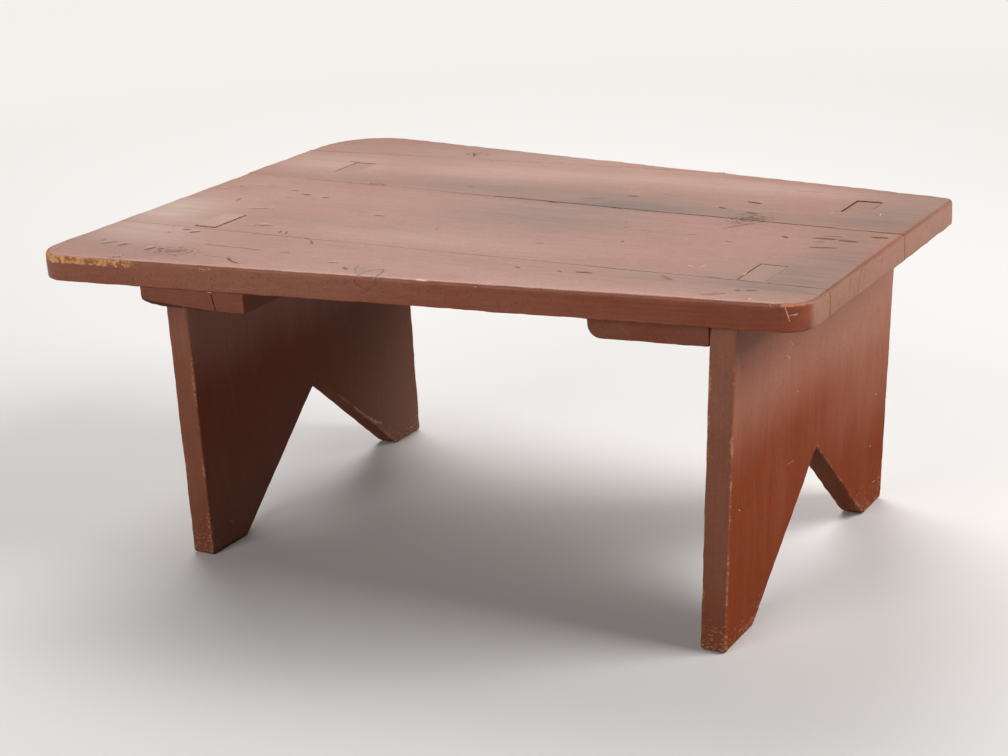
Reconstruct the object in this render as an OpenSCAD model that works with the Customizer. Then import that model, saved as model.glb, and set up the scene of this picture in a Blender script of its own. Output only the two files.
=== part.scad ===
// Low bench stool: a tapering top of three boards and a strip that runs out to
// a point, two plank legs with a V notch, whose tenons pass through the top,
// and two battens nailed across the underside. X runs along the top from the
// wide end to the narrow end, Y from front to back, Z up. The origin is on the
// floor, under the middle of the top.

/* [Top] */
// Length of the top
top_l = 660; // [600:5:760]
// Thickness of the top boards
top_t = 22; // [18:0.5:30]
// Width of the top across the wide end
wide_w = 498; // [460:2:560]
// How far the middle of the wide end lies towards the back
wide_shift = 2; // [-6:0.5:6]
// Width of the top across the narrow end
narrow_w = 336; // [320:2:400]
// How far the middle of the narrow end lies towards the back
narrow_shift = -3; // [-6:0.5:6]
// Height of the stool
stool_h = 285; // [240:5:340]

/* [Corners of the top] */
// Radius of the front corner at the wide end
wide_front_r = 30; // [5:1:50]
// Radius of the back corner at the wide end
wide_back_r = 60; // [5:1:80]
// Radius of the front corner at the narrow end
narrow_front_r = 26; // [5:1:40]
// Radius of the back corner at the narrow end
narrow_back_r = 10; // [5:1:40]

/* [Seams between the boards] */
// Front seam, ahead of the middle line at the wide end
front_seam_wide = 128; // [126:0.5:150]
// Front seam, ahead of the middle line at the narrow end
front_seam_narrow = 126; // [125:0.5:132]
// Back seam, behind the middle line at the wide end
back_seam_wide = 62; // [20:1:80]
// Back seam, behind the middle line at the narrow end
back_seam_narrow = 37; // [20:1:60]
// Seam of the strip along the back edge, behind the middle line at the wide end
strip_seam_wide = 166; // [160:1:190]
// How far that seam moves to the back over the length of the top
strip_seam_slant = 42; // [20:1:60]
// Width that each seam has opened to
seam_gap = 0.4; // [0.2:0.1:1]

/* [Legs] */
// Thickness of the leg planks
leg_t = 22; // [18:0.5:28]
// Width of the leg planks
leg_w = 348; // [330:2:356]
// Overhang of the top past the leg at the wide end
wide_overhang = 80; // [50:1:110]
// Overhang of the top past the leg at the narrow end
narrow_overhang = 53; // [30:1:80]
// Angle that the wide end's leg leans, with its feet inwards, in degrees
wide_lean_angle = 0.5; // [0:0.1:5]
// Angle that the narrow end's leg leans, with its feet inwards, in degrees
narrow_lean_angle = 3; // [0:0.1:5]
// Height of the V notch
notch_h = 109; // [60:1:140]
// Width of the front foot
front_foot_w = 52; // [35:1:80]
// Width of the back foot
back_foot_w = 44; // [35:1:80]

/* [Tenons] */
// Front tenon, from the middle line to the tenon's middle
front_tenon_y = 101; // [80:1:102]
// Width of the front tenon
front_tenon_w = 45; // [30:1:46]
// Back tenon, from the middle line to the tenon's middle
back_tenon_y = 112; // [100:1:125]
// Width of the back tenon
back_tenon_w = 39; // [30:1:50]
// Play around each tenon in its mortise
mortise_fit = 0.2; // [0.1:0.05:0.6]

/* [Battens] */
// Width of the battens
batten_w = 96; // [60:1:120]
// Thickness of the battens
batten_t = 17.5; // [14:0.5:22]
// Radius of the waney lower arris of each batten
wane_r = 11; // [4:0.5:13]
// Distance of the wide end's batten from the edges of the top
wide_setback = 1; // [0:0.5:20]
// Distance of the narrow end's batten from the edges of the top
narrow_setback = 8; // [0:0.5:20]
// Gap between the wide end's batten and its leg
wide_batten_gap = 3; // [0.2:0.1:10]
// Gap between the narrow end's batten and its leg
narrow_batten_gap = 0.6; // [0.2:0.1:10]

/* [Nails] */
// Diameter of the nails
nail_d = 3; // [2.5:0.1:4]
// Length of the nails
nail_l = 34; // [28:0.5:36]
// Diameter of the nail heads
head_d = 7; // [6:0.5:9]
// Thickness of the nail heads
head_t = 1.4; // [1:0.1:2]
// Distance of the nails from the edges of the board that they hold
nail_inset = 18; // [12:0.5:22]
// Distance of the nails to either side of the batten's middle
nail_stagger = 16; // [0:1:22]
// Play around the nails
nail_fit = 0.1; // [0.05:0.05:0.3]

/* [Hidden] */
$fn = 48;

// The two ends, as a side of the middle
WIDE = -1;
NARROW = 1;

top_colour = "#a8705f";
leg_colour = "#8a4a34";
batten_colour = "#7a3c2c";
nail_colour = "#4a4440";

// How far a cutting shape runs past what it cuts
past = 5;
under_z = stool_h - top_t;
batten_z = under_z - batten_t;

// A value that runs evenly from the wide end to the narrow end, at x
function along(wide, narrow, x) = wide + (narrow - wide)*(x/top_l + 1/2);

// The edges and seams of the top, from front to back, at x
function front_y(x) = along(wide_shift - wide_w/2, narrow_shift - narrow_w/2, x);
function back_y(x) = along(wide_shift + wide_w/2, narrow_shift + narrow_w/2, x);
function front_seam_y(x) = along(-front_seam_wide, -front_seam_narrow, x);
function back_seam_y(x) = along(back_seam_wide, back_seam_narrow, x);
function strip_seam_y(x) = along(strip_seam_wide, strip_seam_wide + strip_seam_slant, x);

// The faces of a leg, at height z
function lean(side) = side == WIDE ? wide_lean_angle : narrow_lean_angle;
function overhang(side) = side == WIDE ? wide_overhang : narrow_overhang;
function outer_x(side, z) = side*(top_l/2 - overhang(side) - (under_z - z)*tan(lean(side)));
function inner_x(side, z) = outer_x(side, z) - side*leg_t/cos(lean(side));

// The sides of a batten: one lies along its leg, the other is upright
function batten_gap(side) = side == WIDE ? wide_batten_gap : narrow_batten_gap;
function leg_side_x(side, z) = inner_x(side, z) - side*batten_gap(side);
function free_side_x(side) = leg_side_x(side, under_z) - side*batten_w;
function batten_mid_x(side) = (leg_side_x(side, under_z) + free_side_x(side))/2;
function setback(side) = side == WIDE ? wide_setback : narrow_setback;

// Two nails in each board, on opposite sides of the batten's middle. Only the
// wide end's batten reaches the strip
function nail_spots(side) = let (
        x = batten_mid_x(side),
        seams = concat([front_seam_y(x), back_seam_y(x)], side == WIDE ? [strip_seam_y(x)] : []),
        lines = concat([front_y(x)], seams, [back_y(x)])
    ) [for (board = [0:len(lines) - 2], end = [0, 1]) [
        x + (end == 0 ? -nail_stagger : nail_stagger),
        end == 0 ? lines[board] + nail_inset : lines[board + 1] - nail_inset]];

function unit(v) = v/norm(v);

// What a corner at p, between edges towards a and b, loses to a radius r
module corner_waste(p, a, b, r) {
    u = unit(a - p);
    v = unit(b - p);
    half = acos(u*v)/2;
    c = p + unit(u + v)*r/sin(half);
    reach = 1.1;
    difference() {
        polygon([for (q = [p, p + u*r/tan(half), c, p + v*r/tan(half)]) c + (q - c)*reach]);
        translate(c) circle(r);
    }
}

module top_outline() {
    x = top_l/2;
    corners = [[-x, front_y(-x)], [x, front_y(x)], [x, back_y(x)], [-x, back_y(-x)]];
    radii = [wide_front_r, narrow_front_r, narrow_back_r, wide_back_r];
    difference() {
        polygon(corners);
        for (i = [0:3])
            corner_waste(corners[i], corners[(i + 3)%4], corners[(i + 1)%4], radii[i]);
    }
}

// The ground between two lines given by their y at the wide and narrow ends
module strip(front, back) {
    x = top_l/2;
    polygon([[-x, front[0]], [x, front[1]], [x, back[1]], [-x, back[0]]]);
}

// A slice of a leg's plank, between two heights and from y0 to y1
module plank(side, z0, z1, y0, y1, fit = 0) {
    translate([0, y1 + fit, 0]) rotate([90, 0, 0]) linear_extrude(y1 - y0 + 2*fit)
        polygon([[outer_x(side, z0) + side*fit, z0], [outer_x(side, z1) + side*fit, z1],
                 [inner_x(side, z1) - side*fit, z1], [inner_x(side, z0) - side*fit, z0]]);
}

module mortise(side, y, w) {
    plank(side, under_z - past, stool_h + past, y - w/2, y + w/2, mortise_fit);
}

module nail_hole(x, y) {
    translate([x, y, batten_z - past]) cylinder(d = head_d + 2*nail_fit, h = past + head_t);
    translate([x, y, batten_z]) cylinder(d = nail_d + 2*nail_fit, h = nail_l + nail_fit);
}

module top_board(front, back) {
    color(top_colour) difference() {
        translate([0, 0, under_z]) linear_extrude(top_t) intersection() {
            top_outline();
            strip(front, back);
        }
        for (side = [WIDE, NARROW]) {
            mortise(side, -front_tenon_y, front_tenon_w);
            mortise(side, back_tenon_y, back_tenon_w);
            for (spot = nail_spots(side)) nail_hole(spot[0], spot[1]);
        }
    }
}

module top_board_front() {
    x = top_l/2;
    top_board([front_y(-x), front_y(x)],
              [front_seam_y(-x) - seam_gap/2, front_seam_y(x) - seam_gap/2]);
}

module top_board_middle() {
    x = top_l/2;
    top_board([front_seam_y(-x) + seam_gap/2, front_seam_y(x) + seam_gap/2],
              [back_seam_y(-x) - seam_gap/2, back_seam_y(x) - seam_gap/2]);
}

module top_board_back() {
    x = top_l/2;
    top_board([back_seam_y(-x) + seam_gap/2, back_seam_y(x) + seam_gap/2],
              [strip_seam_y(-x) - seam_gap/2, strip_seam_y(x) - seam_gap/2]);
}

// The strip ends in a point, where its seam meets the back edge
module top_strip_back() {
    x = top_l/2;
    top_board([strip_seam_y(-x) + seam_gap/2, strip_seam_y(x) + seam_gap/2],
              [strip_seam_y(-x) + wide_w, strip_seam_y(x) + wide_w]);
}

// A leg seen along the stool: feet, notch, shoulders and the two tenons
module leg_face() {
    front = -leg_w/2;
    back = leg_w/2;
    notch = [front + front_foot_w, back - back_foot_w];
    polygon([
        [front, 0], [notch[0], 0], [(notch[0] + notch[1])/2, notch_h], [notch[1], 0], [back, 0],
        [back, under_z],
        [back_tenon_y + back_tenon_w/2, under_z], [back_tenon_y + back_tenon_w/2, stool_h],
        [back_tenon_y - back_tenon_w/2, stool_h], [back_tenon_y - back_tenon_w/2, under_z],
        [-front_tenon_y + front_tenon_w/2, under_z], [-front_tenon_y + front_tenon_w/2, stool_h],
        [-front_tenon_y - front_tenon_w/2, stool_h], [-front_tenon_y - front_tenon_w/2, under_z],
        [front, under_z]]);
}

module leg(side) {
    color(leg_colour) intersection() {
        plank(side, 0, stool_h, -leg_w/2, leg_w/2);
        rotate([90, 0, 90]) linear_extrude(top_l, center = true) leg_face();
    }
}

// A batten cut across: square but for its waney lower arris, on the same
// side of both battens
module batten_section(side) {
    low = [leg_side_x(side, batten_z), batten_z];
    high = [leg_side_x(side, under_z), under_z];
    free_low = [free_side_x(side), batten_z];
    free_high = [free_side_x(side), under_z];
    difference() {
        polygon([low, high, free_high, free_low]);
        if (side == WIDE) corner_waste(low, high, free_low, wane_r);
        else corner_waste(free_low, free_high, low, wane_r);
    }
}

// A batten from above, its ends cut in line with the edges of the top
module batten_plan(side) {
    x0 = batten_mid_x(side) - batten_w;
    x1 = batten_mid_x(side) + batten_w;
    polygon([[x0, front_y(x0) + setback(side)], [x1, front_y(x1) + setback(side)],
             [x1, back_y(x1) - setback(side)], [x0, back_y(x0) - setback(side)]]);
}

module batten(side) {
    color(batten_colour) difference() {
        intersection() {
            rotate([90, 0, 0]) linear_extrude(2*wide_w, center = true) batten_section(side);
            translate([0, 0, batten_z - past]) linear_extrude(batten_t + 2*past) batten_plan(side);
        }
        for (spot = nail_spots(side)) nail_hole(spot[0], spot[1]);
    }
}

module nail() {
    point_l = 1.5*nail_d;
    cylinder(d = head_d, h = head_t);
    cylinder(d = nail_d, h = nail_l - point_l);
    translate([0, 0, nail_l - point_l]) cylinder(d1 = nail_d, d2 = nail_d/6, h = point_l);
}

module nails(side) {
    color(nail_colour) for (spot = nail_spots(side)) translate([spot[0], spot[1], batten_z]) nail();
}

top_board_front();
top_board_middle();
top_board_back();
top_strip_back();
leg(WIDE);  // leg_wide_end
leg(NARROW);  // leg_narrow_end
batten(WIDE);  // batten_wide_end
batten(NARROW);  // batten_narrow_end
nails(WIDE);  // nails_wide_end
nails(NARROW);  // nails_narrow_end
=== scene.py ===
"""Looks of the low bench stool: worn red-brown paint over sawn boards, on a
pale floor. Metres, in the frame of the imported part: X runs along the top from
the wide end to the narrow end, Y from front to back, Z up."""

import math
from contextlib import contextmanager

import bpy
import numpy as np
from mathutils import Matrix, Vector


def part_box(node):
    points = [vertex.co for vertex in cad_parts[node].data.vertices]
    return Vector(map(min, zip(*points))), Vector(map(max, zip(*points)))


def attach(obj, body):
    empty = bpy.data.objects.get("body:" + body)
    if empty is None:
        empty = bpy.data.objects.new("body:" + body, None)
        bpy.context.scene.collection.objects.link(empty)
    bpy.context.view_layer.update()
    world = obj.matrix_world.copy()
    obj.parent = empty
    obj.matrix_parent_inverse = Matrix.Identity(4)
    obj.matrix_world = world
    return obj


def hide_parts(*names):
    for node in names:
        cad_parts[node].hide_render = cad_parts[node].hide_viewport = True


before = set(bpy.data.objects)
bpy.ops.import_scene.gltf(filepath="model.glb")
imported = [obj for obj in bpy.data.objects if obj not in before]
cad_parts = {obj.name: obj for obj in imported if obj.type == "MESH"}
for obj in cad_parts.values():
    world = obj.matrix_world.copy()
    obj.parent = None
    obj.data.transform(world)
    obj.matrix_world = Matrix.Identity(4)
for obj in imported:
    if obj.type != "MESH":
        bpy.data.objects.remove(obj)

scene = bpy.context.scene
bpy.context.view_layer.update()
board_low, board_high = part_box("top_board_middle")

TOP_Z = board_high.z
UNDER_Z = board_low.z
BATTEN_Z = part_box("batten_wide_end")[0].z
HALF_LENGTH = board_high.x

# Lines along the top: y at the wide end and at the narrow end
FRONT_EDGE = (-0.247, -0.171)
FRONT_SEAM = (-0.128, -0.126)
BACK_SEAM = (0.062, 0.037)
STRIP_SEAM = (0.166, 0.208)
BACK_EDGE = (0.251, 0.165)
# The rounded corner between the front edge and the narrow end: its radius, and the x where it starts
CORNER_RADIUS = 0.026
CORNER_X = HALF_LENGTH - 0.0232

# How far from an arris its wear reaches, from a seam its dirt and painted shade, and how wide the painted
# shade in a gap is
ARRIS_REACH = 0.012
SEAM_REACH = 0.006
GAP_SHADE_REACH = 0.0009
# The largest radius of an arris that belongs to a seam, a mortise or a tenon
SEAM_RADIUS = 0.0008
# How finely a piece is cut across its width and through its thickness before it is weathered
FINE_ACROSS = 0.007
FINE_THROUGH = 0.006
# How deep marks go, how uneven the planing is and how far knocked arrises go in
MARK_DEPTH = 0.0006
PLANING = 0.0006
KNOCKS = 0.0016
# What a place is multiplied by to see it from above
SEEN_FROM_ABOVE = (1.0, 1.0, 0.0)


# Modelling

def pick(piece):
    """Makes a piece the only one selected, and the active one."""
    bpy.ops.object.select_all(action="DESELECT")
    piece.select_set(True)
    bpy.context.view_layer.objects.active = piece


@contextmanager
def editing(piece, action=None):
    """Opens the mesh of a piece, and selects or deselects all of it first."""
    pick(piece)
    bpy.ops.object.mode_set(mode="EDIT")
    if action:
        bpy.ops.mesh.select_all(action=action)
    yield
    bpy.ops.object.mode_set(mode="OBJECT")


def apply_modifier(piece, kind, name, **settings):
    """Adds a modifier to a piece, sets it and applies it."""
    pick(piece)
    modifier = piece.modifiers.new(name, kind)
    for key, value in settings.items():
        setattr(modifier, key, value)
    bpy.ops.object.modifier_apply(modifier=modifier.name)


def copy_of_node(node):
    """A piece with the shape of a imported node, its triangles joined into faces."""
    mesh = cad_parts[node].data.copy()
    mesh.materials.clear()
    piece = bpy.data.objects.new(node + "_painted", mesh)
    scene.collection.objects.link(piece)
    with editing(piece, "SELECT"):
        bpy.ops.mesh.remove_doubles(threshold=1e-5)
        bpy.ops.mesh.dissolve_limited(angle_limit=math.radians(1.0))
        bpy.ops.mesh.customdata_custom_splitnormals_clear()
    return piece


def cut_across(piece, axis, spacing):
    """Cuts a piece along evenly spaced planes across one axis."""
    places = [vertex.co[axis] for vertex in piece.data.vertices]
    low, high = min(places), max(places)
    count = max(1, round((high - low) / spacing))
    normal = [float(i == axis) for i in range(3)]
    with editing(piece):
        for step in range(1, count):
            place = low + (high - low) * step / count
            bpy.ops.mesh.select_all(action="SELECT")
            bpy.ops.mesh.bisect(plane_co=[n * place for n in normal], plane_no=normal)


def arris_edges(mesh):
    """The edges that stand out, each with its middle and its two faces' normals."""
    faces_of = {}
    for polygon in mesh.polygons:
        for key in polygon.edge_keys:
            faces_of.setdefault(key, []).append(polygon)
    for edge in mesh.edges:
        faces = faces_of.get(edge.key, [])
        if len(faces) != 2:
            continue
        one, other = faces
        sharp = one.normal.angle(other.normal, 0.0) > math.radians(25)
        if sharp and (other.center - one.center).dot(one.normal) < 0.0:
            a, b = (mesh.vertices[i].co for i in edge.vertices)
            yield edge, (a + b) / 2, (one.normal.copy(), other.normal.copy())


def round_arrises(piece, radius_at, largest):
    """Rounds the arrises, each to the radius that radius_at gives for it. Returns
    each one's normals, radius and two points."""
    mesh = piece.data
    found = []
    for edge, middle, normals in arris_edges(mesh):
        line = [mesh.vertices[i].co.copy() for i in edge.vertices]
        found.append((edge.index, normals, radius_at(middle, normals), line))
    weights = mesh.attributes.new("bevel_weight_edge", "FLOAT", "EDGE")
    for index, _, radius, _ in found:
        weights.data[index].value = radius / largest
    apply_modifier(piece, "BEVEL", "rounded arrises", width=largest, segments=4,
                   limit_method="WEIGHT", use_clamp_overlap=False)
    return [(normals, radius, line) for _, normals, radius, line in found]


def rounded_copy(node, axes, coarse, radius_at, largest, fine=0.005):
    """A copy of a node with rounded arrises and small faces, and what its arrises
    are. The axes are those along the grain, across it and through it."""
    piece = copy_of_node(node)
    cut_across(piece, axes[0], coarse)
    rounded = round_arrises(piece, radius_at, largest)
    for axis, spacing in zip(axes, (fine, FINE_ACROSS, FINE_THROUGH)):
        cut_across(piece, axis, spacing)
    return piece, rounded


def points_of(piece):
    """The points of a piece, as rows of x, y and z."""
    flat = np.zeros(len(piece.data.vertices) * 3)
    piece.data.vertices.foreach_get("co", flat)
    return flat.reshape(-1, 3)


def store(piece, name, values):
    """Keeps a value for each point, for the materials to read."""
    kept = piece.data.attributes.new(name, "FLOAT", "POINT")
    kept.data.foreach_set("value", values.astype(np.float32))


def weigh(piece, name, values):
    """Keeps a value for each point as a vertex group, for the modifiers to read."""
    group = piece.vertex_groups.new(name=name)
    steps = 24
    for step in range(1, steps + 1):
        indices = np.nonzero(np.ceil(values * steps) == step)[0]
        group.add(indices.tolist(), step / steps, "REPLACE")


def away_from(points, start, end):
    """How far points are from a line, and how far along it each comes nearest, from 0 to 1."""
    start = np.array(start)
    run = np.array(end) - start
    share = np.clip((points - start) @ run / max(run @ run, 1e-12), 0.0, 1.0)
    return np.linalg.norm(points - start - share[:, None] * run, axis=1), share


def nearness(points, lines, reach):
    """1 on the lines and 0 at the reach and beyond. Each line has a strength."""
    near = np.zeros(len(points))
    for start, end, strength in lines:
        near = np.maximum(near, strength - away_from(points, start, end)[0] / reach)
    return near


def mark_arrises(piece, rounded, seam_strength):
    """Stores how near each point is to a worn arris, and to the seams, where dirt
    gathers and the mortises' rims get painted shade. The paint wears by the first,
    and so does the shape."""
    points = points_of(piece)
    worn = [(*line, 1.0) for _, radius, line in rounded if radius > SEAM_RADIUS]
    arris = nearness(points, worn, ARRIS_REACH)
    seams = [(line, seam_strength((line[0] + line[1]) / 2, normals))
             for normals, radius, line in rounded if radius <= SEAM_RADIUS]
    seam = nearness(points, [(*line, strength) for line, strength in seams if strength > 0.0], SEAM_REACH)
    weigh(piece, "wear of the shape", arris ** 2)
    store(piece, "arris", arris)
    store(piece, "seam", seam)


def mark_gap_shade(piece, rounded):
    """Stores painted shade on the points that lie in the gaps of the seams and mortises.
    Round the narrow end's front tenon the gap is tight, and its painted shade lighter."""
    points = points_of(piece)
    lines = [(np.array(line[0]) * SEEN_FROM_ABOVE, np.array(line[1]) * SEEN_FROM_ABOVE, 1.0)
             for _, radius, line in rounded
             if radius <= SEAM_RADIUS and not lies_on(BACK_EDGE, (line[0] + line[1]) / 2)]
    near = np.clip(nearness(points * SEEN_FROM_ABOVE, lines, GAP_SHADE_REACH) * 3.0, 0.0, 1.0)
    hidden = (points[:, 2] < TOP_Z - 0.0003) & (np.abs(points[:, 0]) < HALF_LENGTH - 0.002)
    tight = (points[:, 0] > 0.24) & (points[:, 0] < 0.29) & (points[:, 1] < -0.05)
    store(piece, "gap_shade", np.where(hidden, near, 0.0) * np.where(tight, 0.45, 1.0))


def in_marks(points, marks):
    """1 in the middle of a mark and 0 outside. A mark has a start, an end, half
    its width and its strength, and narrows towards its ends."""
    deep = np.zeros(len(points))
    for start, end, width, strength in marks:
        away, share = away_from(points, start, end)
        half = width * (0.45 + 0.55 * np.sqrt(np.sin(np.pi * share)))
        deep = np.maximum(deep, strength * (1.0 - away / half))
    return deep


def refine_near(piece, marks):
    """Makes the faces small where the marks are, small enough for each width."""
    bpy.context.tool_settings.mesh_select_mode = (False, False, True)
    for _ in range(4):
        mesh = piece.data
        centres = np.array([polygon.center for polygon in mesh.polygons])
        sizes = np.sqrt([polygon.area for polygon in mesh.polygons])
        chosen = np.zeros(len(sizes), dtype=bool)
        for start, end, width, _ in marks:
            near = away_from(centres, start, end)[0] < width + sizes
            chosen |= near & (sizes > max(0.4 * width, 0.0006))
        # This clears the points and edges too, before the faces are chosen
        with editing(piece, "DESELECT"):
            pass
        piece.data.polygons.foreach_set("select", chosen)
        with editing(piece):
            bpy.ops.mesh.subdivide(number_cuts=1)


def sink_marks(piece, dark, pale):
    """Presses marks into a piece and stores them: dirt lies in the dark ones, and
    bare wood shows in the pale ones."""
    points = points_of(piece)
    in_dark, in_pale = in_marks(points, dark), in_marks(points, pale)
    weigh(piece, "depth of the marks", np.clip(np.maximum(in_dark, in_pale * 0.6), 0.0, 1.0))
    store(piece, "dark marks", in_dark)
    store(piece, "pale marks", in_pale)
    apply_modifier(piece, "DISPLACE", "sunk marks", direction="NORMAL", strength=-MARK_DEPTH,
                   mid_level=0.0, vertex_group="depth of the marks")


def patches(points, spots):
    """Soft patches added up. A spot has its middle, its reach both ways and its strength."""
    total = np.zeros(len(points))
    for (x, y), (long, wide), strength in spots:
        total += strength * np.exp(-((points[:, 0] - x) / long) ** 2 - ((points[:, 1] - y) / wide) ** 2)
    return total


def clouds(name, size, depth):
    texture = bpy.data.textures.new(name, "CLOUDS")
    texture.noise_scale = size
    texture.noise_depth = depth
    return texture


PLANED = clouds("planed by hand", 0.08, 1)
KNOCKED = clouds("knocked arris", 0.013, 2)


def weather(piece):
    """Makes flat faces slightly uneven, and wears the arrises inwards in places."""
    apply_modifier(piece, "DISPLACE", "planed by hand", texture=PLANED, texture_coords="LOCAL",
                   strength=PLANING, mid_level=0.65)
    apply_modifier(piece, "DISPLACE", "knocked arrises", texture=KNOCKED, texture_coords="LOCAL",
                   strength=KNOCKS, mid_level=0.68, vertex_group="wear of the shape")


def smooth(piece):
    """Shades a piece smooth, with its flat faces flat and its sharp arrises sharp."""
    with editing(piece, "SELECT"):
        bpy.ops.mesh.quads_convert_to_tris(quad_method="BEAUTY", ngon_method="BEAUTY")
    bpy.ops.object.shade_smooth_by_angle(angle=math.radians(40))
    apply_modifier(piece, "WEIGHTED_NORMAL", "flat faces", weight=60, keep_sharp=True)


def complete(piece, node, material):
    """Weathers and smooths a piece, and puts it in the place of its node."""
    weather(piece)
    smooth(piece)
    piece.data.materials.append(material)
    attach(piece, "root")
    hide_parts(node)


def line_y(line, x):
    """The y of a line along the top, at x."""
    return line[0] + (line[1] - line[0]) * (x / HALF_LENGTH + 1.0) / 2.0


def lies_on(line, point):
    """Whether a point is on a line along the top, seen from above."""
    return abs(point.y - line_y(line, point.x)) < 0.0009


def faces(normals, axis, sign):
    """Whether one of the normals points along an axis."""
    return any(normal[axis] * sign > 0.9 for normal in normals)


# Nodes of the materials

def colour(hex_text):
    """The linear colour of a paint written as the eye sees it."""
    parts = [int(hex_text[i:i + 2], 16) / 255 for i in (1, 3, 5)]
    return [p / 12.92 if p < 0.04045 else ((p + 0.055) / 1.055) ** 2.4 for p in parts] + [1.0]


class Nodes:
    """The nodes of one material or node group, added one after another."""

    def __init__(self, tree):
        self.tree = tree

    def add(self, kind, **settings):
        node = self.tree.nodes.new("ShaderNode" + kind)
        for key, value in settings.items():
            setattr(node, key, value)
        return node

    def feed(self, socket, value):
        if isinstance(value, bpy.types.NodeSocket):
            self.tree.links.new(value, socket)
        else:
            socket.default_value = value

    def feed_row(self, node, *values):
        """Feeds a node's first inputs. Returns its outputs."""
        for socket, value in zip(node.inputs, values):
            self.feed(socket, value)
        return node.outputs

    def feed_all(self, node, **values):
        """Feeds a node's inputs by name. Returns its outputs."""
        for key, value in values.items():
            self.feed(node.inputs[key.replace("_", " ")], value)
        return node.outputs

    def math(self, operation, a, b=0.0, c=0.0, clamp=False):
        return self.feed_row(self.add("Math", operation=operation, use_clamp=clamp), a, b, c)[0]

    def math_over(self, operation, values):
        result, *others = values
        for value in others:
            result = self.math(operation, result, value)
        return result

    def times(self, *values):
        return self.math_over("MULTIPLY", values)

    def most(self, *values):
        return self.math_over("MAXIMUM", values)

    def plus(self, a, b, share=1.0):
        """a with a share of b added."""
        return self.math("MULTIPLY_ADD", b, share, a)

    def inverse(self, value):
        return self.math("SUBTRACT", 1.0, value, clamp=True)

    def vector(self, operation, a, b=(0.0, 0.0, 0.0)):
        outputs = self.feed_row(self.add("VectorMath", operation=operation), a, b)
        return outputs["Value" if operation == "LENGTH" else "Vector"]

    def split(self, vector):
        return self.feed_row(self.add("SeparateXYZ"), vector)

    def join(self, x, y, z):
        return self.feed_row(self.add("CombineXYZ"), x, y, z)[0]

    def noise(self, place, scale, detail=2.0, roughness=0.5, output="Fac"):
        """Noise at a scale, or at one scale for each axis."""
        if isinstance(scale, tuple):
            place, scale = self.vector("MULTIPLY", place, scale), 1.0
        node = self.add("TexNoise")
        return self.feed_all(node, Vector=place, Scale=scale, Detail=detail, Roughness=roughness)[output]

    def cells(self, place, scale=5.0):
        return self.feed_all(self.add("TexVoronoi", feature="F1"), Vector=place, Scale=scale)

    def between(self, value, low, high):
        """0 below low and 1 above high, or the other way where low is above high."""
        node = self.add("MapRange", interpolation_type="SMOOTHSTEP")
        return self.feed_all(node, Value=value, From_Min=low, From_Max=high)["Result"]

    def spread(self, value, low, high):
        """A value from 0 to 1, brought between two others."""
        node = self.add("MapRange")
        return self.feed_all(node, Value=value, To_Min=low, To_Max=high)["Result"]

    def mix(self, amount, a, b, blend="MIX"):
        node = self.add("Mix", data_type="RGBA", blend_type=blend)
        colours = [socket for socket in node.inputs if socket.type == "RGBA"]
        self.feed(node.inputs[0], amount)
        self.feed(colours[0], a)
        self.feed(colours[1], b)
        return next(socket for socket in node.outputs if socket.type == "RGBA")

    def group(self, tree, **inputs):
        return self.feed_all(self.add("Group", node_tree=tree), **inputs)

    def relief(self, height, distance, strength=1.0):
        node = self.add("Bump")
        return self.feed_all(node, Height=height, Distance=distance, Strength=strength)["Normal"]


def new_group(name, inputs, outputs):
    """An empty node group, with the inputs and outputs that two texts name. A
    name stands alone for a number, or before its kind."""
    tree = bpy.data.node_groups.new(name, "ShaderNodeTree")
    for in_out, names in (("INPUT", inputs), ("OUTPUT", outputs)):
        for item in names.split(", "):
            label, _, kind = item.partition(":")
            tree.interface.new_socket(label, in_out=in_out, socket_type="NodeSocket" + (kind or "Float"))
    return Nodes(tree), tree.nodes.new("NodeGroupInput").outputs, tree.nodes.new("NodeGroupOutput")


def new_material(name):
    """A material with its nodes and its shader."""
    material = bpy.data.materials.new(name)
    material.use_nodes = True
    return material, Nodes(material.node_tree), material.node_tree.nodes["Principled BSDF"]


def sawn_grain_group():
    """Grain that runs along X: fine fibre, the figure of the year rings, and
    short dark pores."""
    pith = (0.0, 0.0, -0.12)
    ring_width = 0.0045
    n, taken, given = new_group("sawn grain", "Place:Vector", "Fibre, Figure, Pores")
    place = taken["Place"]
    drift = n.noise(place, (4.0, 11.0, 11.0), output="Color")
    drift = n.vector("MULTIPLY", n.vector("SUBTRACT", drift, (0.5, 0.5, 0.5)), (0.0, 0.03, 0.03))
    wandering = n.vector("ADD", place, drift)
    fibre = n.noise(wandering, (16.0, 520.0, 520.0), detail=3.0, roughness=0.62)
    out = n.vector("MULTIPLY", n.vector("SUBTRACT", wandering, pith), (0.0, 1.0, 1.0))
    ring = n.math("DIVIDE", n.vector("LENGTH", out), ring_width)
    ring = n.plus(ring, n.noise(place, (3.0, 30.0, 30.0)), 2.2)
    late_wood = n.between(n.math("FRACT", ring), 0.35, 0.95)
    bands = n.noise(wandering, (2.6, 60.0, 60.0), detail=3.0, roughness=0.55)
    bands = n.between(bands, 0.3, 0.7)
    cells = n.cells(n.vector("MULTIPLY", place, (45.0, 260.0, 260.0)))
    rare = n.between(n.split(cells["Color"])["X"], 0.6, 0.65)
    n.feed_all(given, Fibre=n.between(fibre, 0.28, 0.72),
               Figure=n.math("ADD", n.times(late_wood, 0.4), n.times(bands, 0.6)),
               Pores=n.times(n.between(cells["Distance"], 0.26, 0.12), rare))
    return n.tree


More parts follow.
